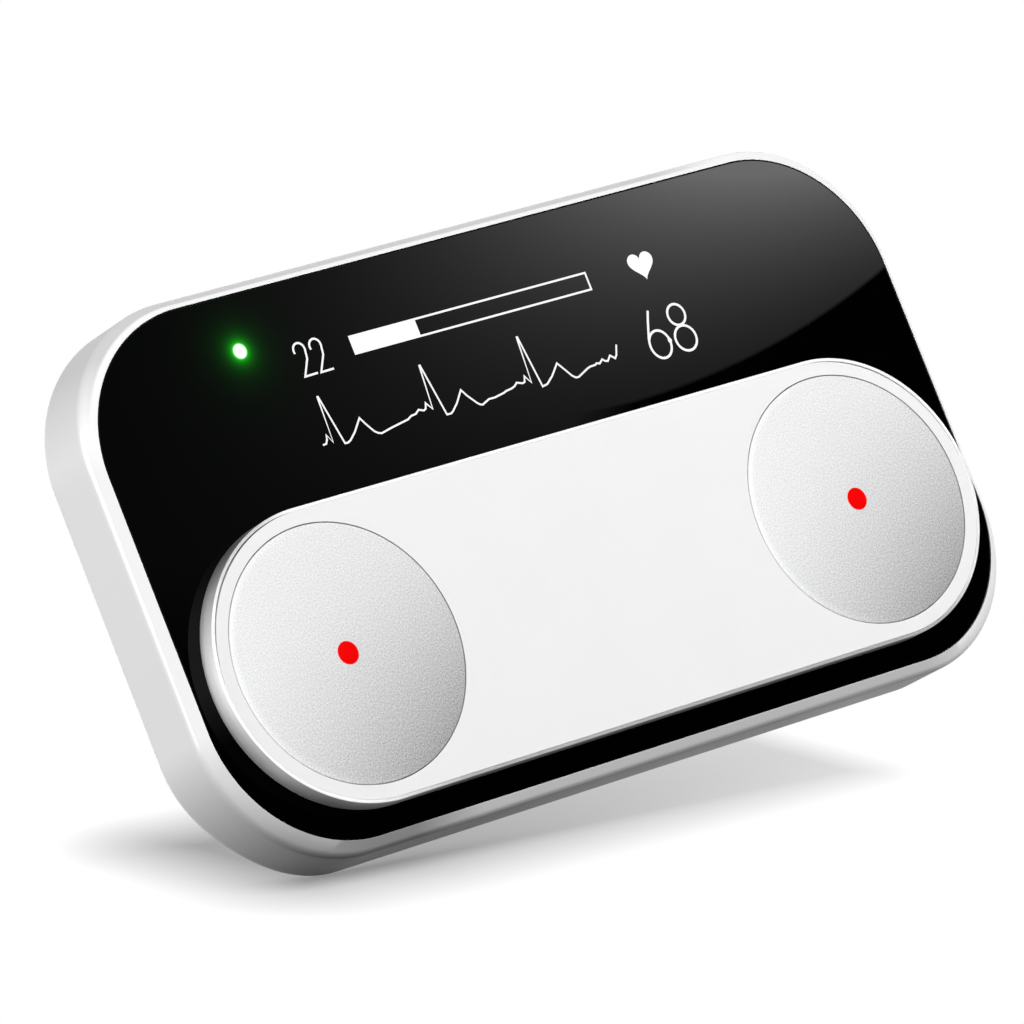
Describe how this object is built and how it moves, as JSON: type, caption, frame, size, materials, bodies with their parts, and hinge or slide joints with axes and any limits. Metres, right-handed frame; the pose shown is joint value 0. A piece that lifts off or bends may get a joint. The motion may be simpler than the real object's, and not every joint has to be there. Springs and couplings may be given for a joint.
{
  "type": "ecg home monitor",
  "caption": "Hand-held home heart monitor with a black display face, a raised white plate with round steel thumb electrodes and a power button in one edge.",
  "frame": {"origin": "middle of the flat back, which rests on the surface", "axes": "+X along the long way to the right of the display as it is read, +Y to the edge above the display, +Z out of the face"},
  "size_m": [0.1, 0.0562, 0.0109],
  "materials": {
    "white_shell": "satin gloss",
    "black_panel": "polished",
    "black_frame": "moulded",
    "black_tape": "tape",
    "label_film": "printed film, left blank",
    "bright_trim": "polished",
    "black_gasket": "matte",
    "white_plate": "gloss",
    "board": "solder mask",
    "tinned_steel": "tinned",
    "capacitor": "ceramic",
    "black_part": "moulded",
    "button_white": "satin",
    "battery_foil": "foil pouch",
    "lead_insulation": "soft",
    "foam": "open cell",
    "flex_film": "polyimide",
    "clear_pipe": "clear",
    "screw_steel": "passivated",
    "socket_ivory": "moulded",
    "display_glass": "dark glass",
    "clear_bond": "clear",
    "led_body": "clear resin",
    "electrode_steel": "fine bead blasted",
    "spring_steel": "spring temper",
    "gold_contact": "gold flash",
    "red_enamel": "gloss"
  },
  "bodies": {
    "housing": {"rear_shell": "white_shell", "front_panel": "black_panel", "front_frame": "black_frame", "panel_adhesive": "black_tape", "rear_label": "label_film", "trim_ring": "bright_trim", "trim_gasket": "black_gasket", "sensor_base": "black_frame", "sensor_plate": "white_plate", "main_board": "board", "amplifier_shield": "tinned_steel", "board_capacitors": "capacitor", "power_switch": "black_part", "usb_socket": "tinned_steel", "usb_tongue": "black_part", "buzzer": "black_part", "battery_cell": "battery_foil", "battery_lead": "lead_insulation", "display_foam": "foam", "display_flex": "flex_film", "light_pipe": "clear_pipe", "processor": "black_part", "memory_chip": "black_part", "signal_amplifier": "black_part", "radio_module": "tinned_steel", "crystal": "tinned_steel", "housing_screws": "screw_steel", "board_screws": "screw_steel", "battery_tape": "black_tape", "battery_guard": "board", "battery_plug": "socket_ivory", "display_module": "display_glass", "display_bond": "clear_bond", "display_socket": "socket_ivory", "status_led": "led_body", "electrode_contact_left": "gold_contact", "electrode_spring_left": "spring_steel", "start_dome_left": "spring_steel", "electrode_contact_right": "gold_contact", "electrode_spring_right": "spring_steel", "start_dome_right": "spring_steel"},
    "left_electrode": {"electrode_left": "electrode_steel", "electrode_clip_left": "spring_steel", "thumb_mark_left": "red_enamel"},
    "right_electrode": {"electrode_right": "electrode_steel", "electrode_clip_right": "spring_steel", "thumb_mark_right": "red_enamel"},
    "power_key": {"power_button": "button_white", "power_plunger": "black_part"}
  },
  "joints": [
    {"name": "press_left", "type": "slide", "parent": "housing", "child": "left_electrode", "axis": [0, 0, -1], "range_m": [0, 0.0003], "stiffness_N_per_m": 4000, "springref_m": -0.0004, "deforming": ["electrode_spring_left", "start_dome_left"]},
    {"name": "press_right", "type": "slide", "parent": "housing", "child": "right_electrode", "axis": [0, 0, -1], "range_m": [0, 0.0003], "stiffness_N_per_m": 4000, "springref_m": -0.0004, "deforming": ["electrode_spring_right", "start_dome_right"]},
    {"name": "press_power", "type": "slide", "parent": "housing", "child": "power_key", "axis": [0, -1, 0], "range_m": [0, 0.0004], "stiffness_N_per_m": 2500, "springref_m": -0.0004}
  ]
}
